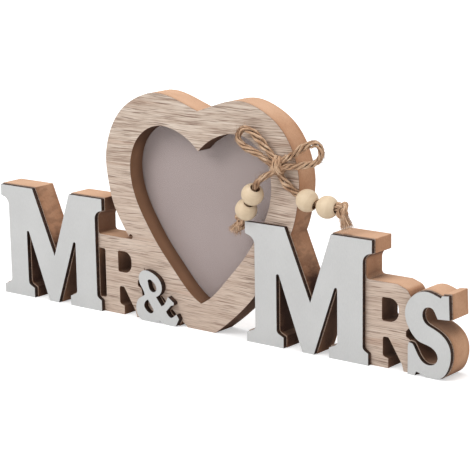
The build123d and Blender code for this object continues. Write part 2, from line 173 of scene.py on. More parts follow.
class Graph:
    """The node tree of one material or world, with a method for each thing that they need."""

    def __init__(self, name: str, world: bool = False) -> None:
        """Make a material, or a world, with an empty tree.

        Args:
            name: Its name.
            world: Whether it is a world.
        """
        self.owner = (bpy.data.worlds if world else bpy.data.materials).new(name)
        self.owner.use_nodes = True
        self.tree = self.owner.node_tree
        self.tree.nodes.clear()
        output = "ShaderNodeOutputWorld" if world else "ShaderNodeOutputMaterial"
        self.output = self.tree.nodes.new(output)

    def node(
        self,
        kind: str,
        settings: Mapping[str, Any] | None = None,
        inputs: Mapping[Any, Any] | None = None,
        output: str | int = 0,
    ) -> Signal:
        """Add a node.

        Args:
            kind: The node's type.
            settings: What the node is set to, such as its operation, or a ramp's stops.
            inputs: Values or signals of its sockets, by name or number.
            output: The socket that is wanted.

        Returns:
            That socket's signal.
        """
        made = self.tree.nodes.new(kind)
        for key, value in (settings or {}).items():
            if key == "stops":
                self._set_stops(made.color_ramp, value)
            else:
                setattr(made, key, value)
        for key, value in (inputs or {}).items():
            if isinstance(value, Signal):
                self.tree.links.new(value.socket, made.inputs[key])
            else:
                made.inputs[key].default_value = value
        return Signal(self, made.outputs[output])

    @staticmethod
    def _set_stops(ramp: bpy.types.ColorRamp, stops: Sequence[tuple[float, Colour]]) -> None:
        """Put a ramp's stops in place.

        Args:
            ramp: The ramp.
            stops: Place and colour of each stop.
        """
        while len(ramp.elements) < len(stops):
            ramp.elements.new(1.0)
        for element, (place, colour) in zip(ramp.elements, stops):
            element.position = place
            element.color = colour

    def place(self) -> Signal:
        """Give the point in the part's frame, in metres."""
        return self.node("ShaderNodeTexCoord", output="Object")

    def facing(self) -> Signal:
        """Give the surface's own direction, whatever the camera."""
        return self.node("ShaderNodeTexCoord", output="Normal")

    def weave(self) -> Signal:
        """Give the piece's own UV map, in metres."""
        return self.node("ShaderNodeTexCoord", output="UV")

    def parts(self, vector: Signal) -> tuple[Signal, Signal, Signal]:
        """Split a vector into its three numbers.

        Args:
            vector: The vector.

        Returns:
            Its X, Y and Z.
        """
        made = self.tree.nodes.new("ShaderNodeSeparateXYZ")
        self.tree.links.new(vector.socket, made.inputs[0])
        return tuple(Signal(self, made.outputs[i]) for i in range(3))

    def joined(self, x: Value, y: Value, z: Value) -> Signal:
        """Join three numbers into a vector."""
        return self.node("ShaderNodeCombineXYZ", inputs={0: x, 1: y, 2: z})

    def vector(
        self, operation: str, first: Value, second: Value = None, output: int = 0
    ) -> Signal:
        """Add a Vector Math node on one or two vectors."""
        inputs = {0: first} if second is None else {0: first, 1: second}
        return self.node("ShaderNodeVectorMath", {"operation": operation}, inputs, output)

    def noise(
        self, vector: Signal, detail: float = 3.0, roughness: float = 0.5, warp: float = 0.0
    ) -> Signal:
        """Give smooth noise from 0 to 1 with features one unit across.

        Args:
            vector: Point that the noise is read at.
            detail: Number of finer layers.
            roughness: Strength of the finer layers.
            warp: How far the noise bends itself.

        Returns:
            The noise.
        """
        inputs = {"Vector": vector, "Scale": 1.0, "Detail": detail, "Roughness": roughness,
                  "Distortion": warp}
        return self.node("ShaderNodeTexNoise", inputs=inputs)

    def texture(self, scale: Triple, *layers: float, at: Signal | None = None) -> Signal:
        """Give noise with so many features to the metre, at the part's own point or another."""
        point = self.place() if at is None else at
        return self.noise(self.vector("MULTIPLY", point, scale), *layers)

    def sky(self, reach: float, own: bool = True) -> Signal:
        """Give how open a surface is within reach, seeing its own piece alone unless told."""
        settings = {"samples": 8, "only_local": own}
        return self.node("ShaderNodeAmbientOcclusion", settings, {"Distance": reach}, "AO")

    def ramp(self, value: Signal, stops: Sequence[tuple[float, Colour]]) -> Signal:
        """Turn a number into a colour."""
        return self.node("ShaderNodeValToRGB", {"stops": stops}, {0: value})

    def blend(self, share: Value, first: Value, second: Value, way: str = "MIX") -> Signal:
        """Mix two colours the stated way, with a share from 0 to 1 of the second."""
        settings = {"data_type": "RGBA", "blend_type": way}
        return self.node("ShaderNodeMix", settings, {0: share, 6: first, 7: second}, 2)

    def relief(self, height: Signal, depth_mm: float, strength: float = 1.0) -> Signal:
        """Turn a height from 0 to 1 into a bumped normal, depth_mm deep."""
        inputs = {"Strength": strength, "Distance": depth_mm * MM, "Height": height}
        return self.node("ShaderNodeBump", inputs=inputs)

    def finish(self, shader: Signal) -> Material | bpy.types.World:
        """Wire the shader to the output, and give the finished material or world."""
        self.tree.links.new(shader.socket, self.output.inputs["Surface"])
        return self.owner

    def surface(self, **sockets: Value) -> Material:
        """Finish with one Principled shader, its sockets named with underscores for spaces."""
        inputs = {name.replace("_", " "): value for name, value in sockets.items()}
        return self.finish(self.node("ShaderNodeBsdfPrincipled", inputs=inputs))


# --- Finishes ---


@dataclass(frozen=True)
class OakPrint:
    """Printed oak on the board's face: level grain, short open pores, calmer lower down, painted
    contact shade.
    """

    dark: Colour = srgb(146, 124, 109)
    middle: Colour = srgb(184, 163, 147)
    pale: Colour = srgb(206, 188, 172)
    palest: Colour = srgb(219, 204, 190)
    mean: Colour = srgb(202, 178, 162)
    pore: Colour = srgb(112, 87, 73)
    # This colour is the veneer's own cut side, and also the painted contact shade beside the
    # plates.
    edge: Colour = srgb(130, 94, 72)
    heart: Colour = srgb(222, 196, 182)
    contact_shade_reach: float = 2.2 * MM
    sway_m: float = 0.007
    calm_z: Band = (0.13, 0.07)

    def material(self) -> Material:
        """Build the finish: noise drawn out along X, bent a little, pores on top and painted
        contact shade.

        Returns:
            The finish's material.
        """
        g = Graph("oak_print")
        x, y, z = g.parts(g.place())
        sway = g.texture((9.0, 1.0, 26.0), 2.0)
        bent = g.joined(x, y, z + (sway - 0.5) * self.sway_m)
        broad = g.texture((6.0, 1.0, 110.0), at=bent)
        streak = g.texture((22.0, 1.0, 1150.0), 2.0, 0.6, at=bent)
        fine = g.texture((90.0, 1.0, 1900.0), 2.0, 0.6, at=bent)
        tone = broad * 0.24 + streak * 0.48 + fine * 0.28
        stops = [(0.39, self.dark), (0.46, self.middle), (0.53, self.pale), (0.6, self.palest)]
        dash = g.texture((40.0, 1.0, 1450.0), 2.0, 0.6, at=bent)
        pores = (dash * 0.75 + broad * 0.25).fade(0.54, 0.61)
        band = g.texture((5.0, 1.0, 150.0), 2.0, at=bent).fade(0.58, 0.7)
        calm = g.blend(z.fade(*self.calm_z) * 0.35, g.ramp(tone, stops), self.mean)
        grain = g.blend(pores * 0.7, calm, self.pore)
        colour = g.blend(band * 0.5, grain, self.heart, "MULTIPLY")
        _, level, _ = g.parts(g.facing())
        # Painted contact shade: the face darkens towards the edge colour where other pieces come
        # close, most of all beside the plates.
        sky = g.sky(self.contact_shade_reach, own=False)
        side = abs(level).fade(0.7, 0.3) + sky.fade(0.72, 0.42) * 0.8
        return g.surface(Base_Color=g.blend(side, colour, self.edge),
                         Roughness=0.62 + tone * 0.2, Specular_IOR_Level=0.3,
                         Normal=g.relief(tone - pores * 0.3, 0.16, 0.7))


@dataclass(frozen=True)
class CutFibreboard:
    """Cut edge of the board: tan fibres darker near both skins, with painted shade in cuts and
    recesses.

    The bands are places on the part, in metres: each fades from its first value to its second.
    """

    pale: Colour = srgb(206, 162, 130)
    dark: Colour = srgb(184, 137, 105)
    skin: Colour = srgb(166, 118, 86)
    fleck: Colour = srgb(140, 96, 68)
    # Painted shade on the window's inner wall, which lies in shade inside the window.
    window_shade: Colour = srgb(128, 94, 71)
    # Painted highlight that upward faces take, as the lamps above light them.
    lit: Colour = srgb(226, 192, 164)
    # The darkest colour: the painted shade on the cut walls and on the window's wall pulls towards
    # it.
    scorch: Colour = srgb(66, 43, 33)
    cut_shade_reach: float = 20.0 * MM
    front_m: float = -0.0081
    back_m: float = 0.0094
    sheet_m: float = 0.0045
    # Reach over which the window's wall darkens further towards the sheet, as painted shade.
    window_shade_reach: float = 8.0 * MM
    window_middle: Triple = (-0.00625, 0.0, 0.088)
    window_half: Band = (0.066, 0.072)
    foot_z: Band = (0.054, 0.034)
    beside_x: tuple[Band, Band] = ((-0.12, -0.115), (-0.075, -0.079))
    beside_z: Band = (0.048, 0.052)
    corner_x: Band = (-0.058, -0.062)
    corner_z: Band = (0.069, 0.066)
    right_slant_x: tuple[Band, Band] = ((0.05, 0.056), (0.092, 0.086))
    left_slant_x: tuple[Band, Band] = ((-0.172, -0.166), (-0.13, -0.136))
    slant_z: Band = (0.108, 0.09)
    s_x: Band = (0.163, 0.175)

    def window_wall(self, g: Graph) -> Signal:
        """Give 1 on the window's own wall, which faces the window's middle from close by.

        Args:
            g: The finish's graph.

        Returns:
            1 on that wall, and 0 elsewhere.
        """
        inward = g.vector("SUBTRACT", self.window_middle, g.place())
        facing = g.vector("DOT_PRODUCT", g.facing(), g.vector("NORMALIZE", inward), 1)
        x, _, z = g.parts(inward)
        half_x, half_z = self.window_half
        near = (half_x - abs(x)).above(0.0) * (half_z - abs(z)).above(0.0)
        return facing.above(0.1) * near

    def painted_shade(self, g: Graph, cloud: Signal) -> Signal:
        """Give how much painted shade a cut's wall takes: more where it sees little sky, near the
        feet and on faces turned down.

        The left M's walls that face the heart take a painted shadow of it too, and walls that face
        +X where either M slants take patchy painted shade. The S takes the least of all.

        Args:
            g: The finish's graph.
            cloud: Slow noise that the painted shade follows.

        Returns:
            How much painted shade, from 0 to 1.
        """
        # Painted shade in recesses: walls that see little sky within reach are darkened.
        sky = g.sky(self.cut_shade_reach)
        x, _, z = g.parts(g.place())
        toward, _, level = g.parts(g.facing())
        foot = z.fade(*self.foot_z)
        # Faces turned down are darkened as well: painted shade under overhangs.
        under = (0.0 - level).fade(0.1, 0.8)
        # The left M's walls that face the heart take a painted shadow of the heart.
        beside = x.between(*self.beside_x) * z.fade(*self.beside_z)
        corner = x.fade(*self.corner_x) * z.fade(*self.corner_z)
        spared = (1.0 - foot) * (1.0 - beside * 0.7) * (1.0 - corner * 0.9)
        open_cut = (sky.fade(0.72, 0.35) * 0.75 + sky.fade(0.97, 0.6) * 0.28) * spared
        # Walls that face +X inside either M's slant take patchy painted shade.
        slants = x.between(*self.right_slant_x) + x.between(*self.left_slant_x)
        slant_shade = slants * z.fade(*self.slant_z) * toward.fade(0.3, 0.7)
        slant_shade_patches = g.texture((260.0, 120.0, 260.0)).fade(0.42, 0.62)
        cut = open_cut + sky.fade(0.97, 0.62) * foot + beside * toward.fade(0.3, 0.8) * 0.8
        most = (cut + slant_shade * (slant_shade_patches * 0.24 + 0.22)).most(under)
        # The S takes less painted shade, and slow noise makes it patchy.
        return most * (1.0 - x.fade(*self.s_x) * 0.4) * (cloud * 0.3 + 0.7)

    def material(self) -> Material:
        """Build the finish: fine noise drawn out along the board, darker near both skins, painted
        light and shade.

        Returns:
            The finish's material.
        """
        g = Graph("cut_fibreboard")
        _, y, _ = g.parts(g.place())
        cloud = g.texture((60.0, 60.0, 60.0))
        fibre = g.texture((700.0, 2400.0, 700.0), 3.0, 0.6)
        base = g.blend((cloud * 0.5 + fibre * 0.5).fade(0.32, 0.68), self.dark, self.pale)
        middle = (self.front_m + self.back_m) / 2
        half = (self.back_m - self.front_m) / 2
        depth = abs((y - middle) / half)
        pressed = g.blend(depth.fade(0.55, 1.0) * 0.45, base, self.skin)
        flecks = g.texture((1500.0, 2600.0, 1500.0), 2.0).fade(0.66, 0.76)
        _, _, level = g.parts(g.facing())
        # Upward faces turn lighter: painted highlight from the lamps above.
        topped = g.blend(level.fade(0.7, 0.95) * 0.35, pressed, self.lit)
        wood = g.blend(flecks * 0.35, topped, self.fleck)
        # The window's inner wall takes painted shade, and more of it towards the sheet in the
        # corner.
        inner = self.window_wall(g)
        brown = g.blend(inner * (cloud * 0.4 + 0.7), wood, self.window_shade)
        deep = y.fade(self.sheet_m - self.window_shade_reach, self.sheet_m)
        window_shaded = g.blend(inner * deep * 0.5, brown, self.scorch)
        # The walls' painted shade pulls the colour towards the darkest colour.
        return g.surface(Base_Color=g.blend(self.painted_shade(g, cloud), window_shaded, self.scorch),
                         Roughness=0.82, Specular_IOR_Level=0.2,
                         Normal=g.relief(fibre, 0.08, 0.6))


@dataclass(frozen=True)
class ScorchedWhitewash:
    """Whitewashed front of a plate with the dark scorched wall that its cutting leaves."""

    white: Colour = srgb(203, 203, 202)
    grey: Colour = srgb(196, 196, 195)
    scorch: Colour = srgb(44, 30, 24)
    amber: Colour = srgb(84, 57, 41)

    def material(self) -> Material:
        """Build the finish: the front is white where it faces along Y, and walls are scorched.

        Returns:
            The finish's material.
        """
        g = Graph("scorched_whitewash")
        _, level, _ = g.parts(g.facing())
        front = abs(level).fade(0.35, 0.75)
        grain = g.texture((1500.0, 1.0, 420.0), 3.0, 0.6)
        cloud = g.texture((35.0, 1.0, 35.0))
        wash = g.blend((grain * 0.5 + cloud * 0.5).fade(0.35, 0.65), self.grey, self.white)
        soot = g.texture((420.0, 120.0, 420.0)).fade(0.4, 0.75)
        wall = g.blend(soot * 0.6, self.scorch, self.amber)
        return g.surface(Base_Color=g.blend(front, wall, wash), Roughness=0.72 - front * 0.12,
                         Specular_IOR_Level=0.25, Normal=g.relief(grain, 0.05, 0.5))


@dataclass(frozen=True)
class BlankPrint:
    """Plain mauve grey sheet in the window, faintly mottled like uncoated card."""

    light: Colour = srgb(169, 154, 151)
    shade: Colour = srgb(164, 149, 146)

    def material(self) -> Material:
        """Build the finish: wide soft mottling and a fine tooth in the colour and the gloss.

        Returns:
            The finish's material.
        """
        g = Graph("blank_print")
        cloud = g.texture((16.0, 1.0, 16.0))
        tooth = g.texture((2600.0, 1.0, 2600.0), 2.0)
        colour = g.blend((cloud * 0.85 + tooth * 0.15).fade(0.3, 0.7), self.shade, self.light)
        return g.surface(Base_Color=colour, Roughness=0.66 + tooth * 0.08, Specular_IOR_Level=0.2)


@dataclass(frozen=True)
class ClearSheet:
    """Thin clear sheet: nearly all of it lets light straight through."""

    tint: Colour = srgb(244, 244, 244)
    cover: float = 0.03

    def material(self) -> Material:
        """Build the finish as a faint glossy film.

        Returns:
            The finish's material.
        """
        g = Graph("clear_sheet")
        smear = g.texture((22.0, 1.0, 30.0))
        return g.surface(Base_Color=self.tint, Roughness=0.1 + smear * 0.1, Alpha=self.cover,
                         Specular_IOR_Level=0.3)


@dataclass(frozen=True)
class Hardboard:
    """Brown hardboard of the back, with its fine pressed mesh of flecks."""

    brown: Colour = srgb(128, 92, 62)
    dark: Colour = srgb(98, 68, 45)

    def material(self) -> Material:
        """Build the finish: short flecks over a slow cloud.

        Returns:
            The finish's material.
        """
        g = Graph("hardboard")
        fleck = g.texture((900.0, 900.0, 900.0), 4.0, 0.65)
        cloud = g.texture((40.0, 40.0, 40.0))
        tone = (fleck * 0.65 + cloud * 0.35).fade(0.35, 0.65)
        return g.surface(Base_Color=g.blend(tone, self.dark, self.brown), Roughness=0.78,
                         Specular_IOR_Level=0.25, Normal=g.relief(fleck, 0.12, 0.7))


@dataclass(frozen=True)
class ZincSteel:
    """Zinc plated steel with a brushed grain."""

    name: str
    bright: Colour = srgb(205, 207, 210)
    dull: Colour = srgb(160, 163, 168)

    def material(self) -> Material:
        """Build the finish: grain drawn out along X over a spangle.

        Returns:
            The finish's material.
        """
        g = Graph(self.name)
        grain = g.texture((240.0, 900.0, 2600.0))
        spangle = g.texture((480.0, 480.0, 480.0), 2.0)
        tone = (grain * 0.6 + spangle * 0.4).fade(0.3, 0.7)
        return g.surface(Base_Color=g.blend(tone, self.dull, self.bright), Metallic=1.0,
                         Roughness=0.42 - tone * 0.14, Normal=g.relief(grain, 0.02, 0.5))


@dataclass(frozen=True)
class BeadWood:
    """Pale turned wood of one bead: rings about its bore, and painted shade in and round the bore.
    """

    name: str
    centre: Triple
    axis: Triple
    pale: Colour = srgb(224, 203, 174)
    cream: Colour = srgb(214, 191, 160)
    ring: Colour = srgb(198, 169, 134)
    # Painted shade inside the bore and in a thin rim round its mouth.
    bore: Colour = srgb(108, 70, 40)
    bore_m: float = 0.0029

    def material(self) -> Material:
        """Build the finish: the distance from the bore's axis gives both the rings and the bore's
        painted shade.

        Returns:
            The finish's material.
        """
        g = Graph(self.name)
        offset = g.vector("SUBTRACT", g.place(), self.centre)
        along = g.vector("DOT_PRODUCT", offset, self.axis, 1)
        across = g.vector("LENGTH", g.vector("CROSS_PRODUCT", offset, self.axis), output=1)
        cloud = g.texture((210.0, 210.0, 210.0), at=offset)
        rings = g.joined(across * 1500.0 + cloud * 2.0, along * 60.0, 0.0)
        grain = g.noise(rings, 3.0, 0.6)
        base = g.blend((cloud * 0.6 + grain * 0.4).fade(0.3, 0.7), self.cream, self.pale)
        lines = g.noise(g.joined(along * 1400.0, across * 90.0, 0.0), 2.0).fade(0.6, 0.75)
        wood = g.blend(lines * 0.3, base, self.ring)
        # Painted shade: the bore and a thin rim round its mouth turn dark brown, and rougher.
        hole = across.fade(self.bore_m + 0.35 * MM, self.bore_m + 0.05 * MM)
        return g.surface(Base_Color=g.blend(hole, wood, self.bore), Roughness=0.5 + hole * 0.3,
                         Specular_IOR_Level=0.35, Normal=g.relief(grain, 0.03, 0.4))


@dataclass(frozen=True)
class Jute:
    """Jute: pale and brown fibres that run along each strand's own UV map, with painted shade
    between plies.
    """

    name: str = "jute"
    ply_shade_share: float = 0.9
    # Colour of the painted shade in the creases between plies.
    ply_shade: Colour = srgb(78, 52, 36)
    shadow: Colour = srgb(122, 88, 64)
    brown: Colour = srgb(176, 139, 110)
    straw: Colour = srgb(205, 172, 142)
    shine: Colour = srgb(228, 205, 178)
    ply_shade_reach: float = 1.6 * MM

    def material(self) -> Material:
        """Build the finish: noise drawn out along the strand, in two sizes, over slow patches, and
        painted shade.

        Returns:
            The finish's material.
        """
        g = Graph(self.name)
        fibre = g.texture((2600.0, 170.0, 1.0), 3.0, 0.65, 0.3, at=g.weave())
        lock = g.texture((800.0, 80.0, 1.0), 2.0, at=g.weave())
        patch = g.texture((170.0, 170.0, 170.0), 2.0)
        tone = fibre * 0.55 + lock * 0.2 + patch * 0.25
        stops = [(0.36, self.shadow), (0.46, self.brown), (0.54, self.straw), (0.64, self.shine)]
        # Painted shade in the creases between plies, where little sky is seen.
        ply_shade_mask = g.sky(self.ply_shade_reach).fade(0.8, 0.35) * self.ply_shade_share
        return g.surface(Base_Color=g.blend(ply_shade_mask, g.ramp(tone, stops), self.ply_shade), Roughness=0.88,
                         Specular_IOR_Level=0.15, Normal=g.relief(tone, 0.3, 1.0))


# --- Meshes ---


def arc_lengths(path: Array) -> Array:
    """Give the distance along a path at each of its points, with rows of paths allowed."""
    steps = np.linalg.norm(np.diff(path, axis=-2), axis=-1)
    return np.concatenate([np.zeros((*steps.shape[:-1], 1)), np.cumsum(steps, axis=-1)], axis=-1)


def even(path: Array, count: int) -> Array:
    """Read a path again at evenly spaced points.

    Args:
        path: Points in order.
        count: Number of points wanted.

    Returns:
        The new points.
    """
    along = arc_lengths(path)
    wanted = np.linspace(0.0, along[-1], count)
    return np.stack([np.interp(wanted, along, path[:, i]) for i in range(3)], -1)


def unit(vectors: Array) -> Array:
    """Scale each vector to length 1."""
    return vectors / np.linalg.norm(vectors, axis=-1, keepdims=True)


def headings(paths: Array, closed: bool = False) -> Array:
    """Give the direction of a path at each of its points, with rows of paths allowed.

    Args:
        paths: Points of one path, or of several by path and row.
        closed: Whether each path's last row joins its first.

    Returns:
        The unit directions.
    """
    if closed:
        return unit(np.roll(paths, -1, axis=-2) - np.roll(paths, 1, axis=-2))
    return unit(np.gradient(paths, axis=-2))


def square_to(heading: Array, level: Array) -> tuple[Array, Array]:
    """Give side, the heading crossed with the level direction, and up, side crossed with it."""
    side = unit(np.cross(heading, level))
    return side, np.cross(side, heading)


def around(angle: Array, side: Array, up: Array) -> Array:
    """Give the direction at an angle from side towards up: cos a * side + sin a * up."""
    return np.cos(angle) * side + np.sin(angle) * up


def carried(paths: Array, radii: Array, sides: int, level: Array, closed: bool = False) -> Array:
    """Carry a circle along paths, square to them.

    Args:
        paths: Points by path and row.
        radii: Radius of each point, by path and row.
        sides: Number of points of each ring.
        level: A direction that no path runs along.
        closed: Whether each path's last row joins its first.

    Returns:
        Points by path, row and side.
    """
    side, up = square_to(headings(paths, closed), level)
    angle = np.linspace(0.0, FULL_TURN, sides, endpoint=False)
    ring = around(angle[:, None], side[:, :, None, :], up[:, :, None, :])
    return paths[:, :, None, :] + radii[:, :, None, None] * ring


@dataclass
class Surface:
    """Grids of points that make one mesh, each with its UV map."""

    points: list[Array] = field(default_factory=list)
    faces: list[Array] = field(default_factory=list)
    maps: list[Array] = field(default_factory=list)
    count: int = 0

    def add_tubes(self, rings: Array, lengths: Array, closed: bool = False) -> None:
        """Add tubes of one shape, each a grid of rings.

        Every quad joins point (row, side) to (row + 1, side), (row + 1, side + 1) and
        (row, side + 1). An open tube's two ends are closed with fans about their middles.

        Args:
            rings: Points by tube, row and side.
            lengths: Distance along each tube by row, in metres.
            closed: Whether the last row joins the first.
        """
        tubes, rows, sides, _ = rings.shape
        index = self.count + np.arange(tubes * rows * sides).reshape(tubes, rows, sides)
        last = rows if closed else rows - 1
        row = np.arange(last)
        turn = np.roll(np.arange(sides), -1)
        here, ahead = index[:, row], index[:, (row + 1) % rows]
        quads = np.stack([here, ahead, ahead[:, :, turn], here[:, :, turn]], -1)
        self.faces.append(quads.reshape(-1, 4))
        girth = np.linalg.norm(np.diff(rings[:, 0], axis=1, append=rings[:, 0, :1]), axis=2)
        across = np.concatenate([np.zeros((tubes, 1)), np.cumsum(girth, axis=1)], axis=1)
        step = lengths[:, 1:2] - lengths[:, :1]
        along = np.concatenate([lengths, lengths[:, -1:] + step], axis=1)
        u0, u1, v0, v1 = (np.broadcast_to(part, (tubes, last, sides)) for part in (
            across[:, None, :-1], across[:, None, 1:],
            along[:, :last, None], along[:, 1:last + 1, None]))
        uv = np.stack([np.stack(c, -1) for c in ((u0, v0), (u0, v1), (u1, v1), (u1, v0))], -2)
        self.maps.append(uv.reshape(-1, 2))
        self.points.append(rings.reshape(-1, 3))
        self.count += rings.size // 3
        if not closed:
            self._add_ends(rings, index, turn, uv)

    def _add_ends(self, rings: Array, index: Array, turn: Array, uv: Array) -> None:
        """Close both ends of open tubes with a fan of triangles about a middle point.

        Args:
            rings: Points by tube, row and side.
            index: Numbers of those points.
            turn: Each side's next side.
            uv: UV map of the tubes' quads.
        """
        tubes, _, sides, _ = rings.shape
        for row in (0, -1):
            middles = self.count + np.arange(tubes)
            self.points.append(rings[:, row].mean(axis=1))
            self.count += tubes
            ring = index[:, row]
            edge = (ring, ring[:, turn]) if row else (ring[:, turn], ring)
            fan = np.stack([*edge, np.repeat(middles[:, None], sides, 1)], -1)
            self.faces.append(fan.reshape(-1, 3))
            self.maps.append(np.repeat(uv[:, row, :, :1], 3, axis=2).reshape(-1, 2))

    def add(self, other: "Surface") -> None:
        """Take in another surface's grids.

        Args:
            other: The other surface.
        """
        self.faces += [face + self.count for face in other.faces]
        self.points += other.points
        self.maps += other.maps
        self.count += other.count

    def piece(self, name: str, material: Material, node: str = "") -> Piece:
        """Make the Blender object of twine, smooth shaded, with its UV map.

        Args:
            name: Name of the piece.
            material: Its finish.
            node: Node that it replaces, if it replaces one.

        Returns:
            The piece.
        """
        mesh = bpy.data.meshes.new(name)
        faces = [face for block in self.faces for face in block.tolist()]
        mesh.from_pydata(np.concatenate(self.points).tolist(), [], faces)
        layer = mesh.uv_layers.new(name="strand")
        layer.data.foreach_set("uv", np.concatenate(self.maps).astype(np.float32).ravel())
        mesh.polygons.foreach_set("use_smooth", np.ones(len(mesh.polygons), bool))
        mesh.materials.append(material)
        mesh.validate()
        made = placed(name, mesh)
        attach(made, ROOT_BODY)
        if node:
            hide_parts(node)
        LOG.info("%s: %d points, %d faces", name, len(mesh.vertices), len(mesh.polygons))
        return made


# --- Twine ---


@dataclass(frozen=True)
class Lay:
    """How the twine is made up: its plies, and how they lie about its line."""

    plies: int = 4
    ply_radius: float = 0.85 * MM
    offset: float = 1.12 * MM
    pitch: float = 30.0 * MM
    uneven: float = 0.24
    uneven_waves: float = 3.0
    swell: float = 0.05
    swell_waves: float = 9.0
    sides: int = 10
    step: float = 0.45 * MM
    opened: tuple[Triple, ...] = ()

    def strands(self, path: Array, level: Array, seed: int, closed: bool = False) -> Array:
        """Lay the plies about a line.

        Ply k follows the line's point plus offset times (cos f * side + sin f * up), where f is
        k shares of a turn plus one turn for each pitch along the line. Where the twine is opened
        (place, width, amount), the offset grows by amount times a bell about that place.

        Args:
            path: The line's points.
            level: A direction that the line never runs along.
            seed: Seed of the plies' small waves.
            closed: Whether the line is a closed one.

        Returns:
            Points by ply and row.
        """
        rng = np.random.default_rng(seed)
        along = arc_lengths(path)
        turns = along / self.pitch
        if closed:
            whole = max(1, round(float(along[-1]) / self.pitch))
            turns = np.arange(len(path)) / len(path) * whole
        side, up = square_to(headings(path, closed), level)
        angle = FULL_TURN * (np.arange(self.plies)[:, None] / self.plies + turns)
        start = rng.random((self.plies, 1))
        wave = 1.0 + self.uneven * np.sin(FULL_TURN * (self.uneven_waves * turns + start))
        for place, width, amount in self.opened:
            wave = wave + amount * np.exp(-((along / along[-1] - place) / width) ** 2)
        return path + (self.offset * wave)[..., None] * around(angle[..., None], side, up)

    def cover(self, path: Array, level: Array, seed: int, closed: bool = False) -> Surface:
        """Build the plies' surface along a line, each ply a little uneven in its radius.

        Args:
            path: The line's points.
            level: A direction that the line never runs along.
            seed: Seed of the plies' waves.
            closed: Whether the line is a closed one.

        Returns:
            The plies' surface.
        """
        paths = self.strands(path, level, seed, closed)
        rng = np.random.default_rng(seed + 1)
        row = np.arange(path.shape[0]) / path.shape[0]
        start = rng.random((self.plies, 1))
        swell = 1.0 + self.swell * np.sin(FULL_TURN * (self.swell_waves * row + start))
        rings = carried(paths, self.ply_radius * swell, self.sides, level, closed)
        surface = Surface()
        surface.add_tubes(rings, arc_lengths(paths), closed)
        return surface


@dataclass(frozen=True)
class Fibres:
    """Loose fibres, each a thin tapered tube.

    Lengths are in metres for fibres along a line, and shares of the way for a brush. Lift and
    lean are shares of a fibre's length, and swing is the angle from the first to the second.
    """

    count: int
    radius: float
    length: Band = (0.72, 1.08)
    rows: int = 6
    sides: int = 3
    tip: float = 0.45
    lift: Band = (0.1, 0.55)
    lean: Band = (-0.4, 0.4)
    swing: float = 1.6
    wave: float = 0.35 * MM
    wave_turns: float = 1.7
    flare: float = 0.5 * MM
    widening: float = 1.3

    def along(self, path: Array, level: Array, reach: float, seed: int) -> Surface:
        """Grow fibres from the surface of a line.

        Each starts reach from the line in a random direction, runs mostly along it, and lifts
        off as the square of the distance run.

        Args:
            path: The line's points.
            level: A direction that the line never runs along.
            reach: Distance from the line at which fibres start.
            seed: Seed of the draws.

        Returns:
            The fibres' surface.
        """
        rng = np.random.default_rng(seed)
        each = (self.count, 1)
        row = rng.integers(2, len(path) - 2, self.count)
        heading = headings(path)[row]
        side, up = square_to(heading, level)
        angle = rng.uniform(0.0, FULL_TURN, each)
        outward = around(angle, side, up)
        swing = around(angle + self.swing, side, up)
        sense = rng.choice([-1.0, 1.0], each)
        length = rng.uniform(*self.length, each)
        lift = rng.uniform(*self.lift, each) * length
        lean = rng.uniform(*self.lean, each) * length
        t = np.linspace(0.0, 1.0, self.rows)[None, :, None]
        start = path[row] + outward * reach
        paths = (start[:, None] + t * (heading * sense * length)[:, None]
                 + t ** 2 * (outward * lift)[:, None] + t ** 2 * (swing * lean)[:, None])
        return self._cover(paths, np.array((0.31, 0.83, 0.46)))

    def brush(self, start: Array, way: Array, neck: float, spread: float, seed: int) -> Surface:
        """Splay fibres from a knot.

        Fibre i starts on a sunflower spiral of radius neck and ends on the same spiral of radius
        spread, with a slow wave on the way. Its length differs from the others'.

        Args:
            start: Middle of the neck.
            way: Vector from the neck to the end of the brush.
            neck: Radius of the neck.
            spread: Radius at the end.
            seed: Seed of the draws.

        Returns:
            The brush's surface.
        """
        rng = np.random.default_rng(seed)
        number = np.arange(self.count)
        share = np.sqrt((number + 0.5) / self.count)[:, None]
        side, up = square_to(unit(way[None]), np.array((0.0, 1.0, 0.0)))
        outward = around((number * GOLDEN_ANGLE)[:, None], side, up)
        length = rng.uniform(*self.length, (self.count, 1))
        t = np.linspace(0.0, 1.0, self.rows)[None, :, None]
        width = share[:, None] * (neck + (spread - neck) * t ** self.widening)
        bend = np.sin(t * math.pi * self.wave_turns)
        wave = rng.normal(0.0, self.wave, (self.count, 1, 3)) * bend
        flare = rng.normal(0.0, self.flare, (self.count, 1, 3)) * t ** 2
        paths = start + way * (t * length[:, None]) + outward[:, None] * width + wave + flare
        return self._cover(paths, np.array((0.13, 0.97, 0.21)))

    def _cover(self, paths: Array, level: Array) -> Surface:
        """Carry a tapering ring along each fibre.

        Args:
            paths: Points by fibre and row.
            level: A direction that no fibre runs along.

        Returns:
            The fibres' surface.
        """
        taper = np.linspace(1.0, self.tip, self.rows)[None] * np.ones((len(paths), 1))
        surface = Surface()
        surface.add_tubes(carried(paths, self.radius * taper, self.sides, level),
                          arc_lengths(paths))
        return surface


class FarEnd(Enum):
    """What a stretch of twine runs to."""

    BOW = "object"
    KNOT = "knot"


@dataclass(frozen=True)
class Stretch:
    """One free stretch of twine: its route in millimetres from the middle of the bow knot.

    Each opened place has its share of the length, its width and how far the plies come apart.
    """

    name: str
    node: str
    length: float
    far_end: FarEnd
    lay: str
    seed: int
    route: tuple[Triple, ...]
    opened: tuple[Triple, ...] = ()
    beads: tuple[str, ...] = ()


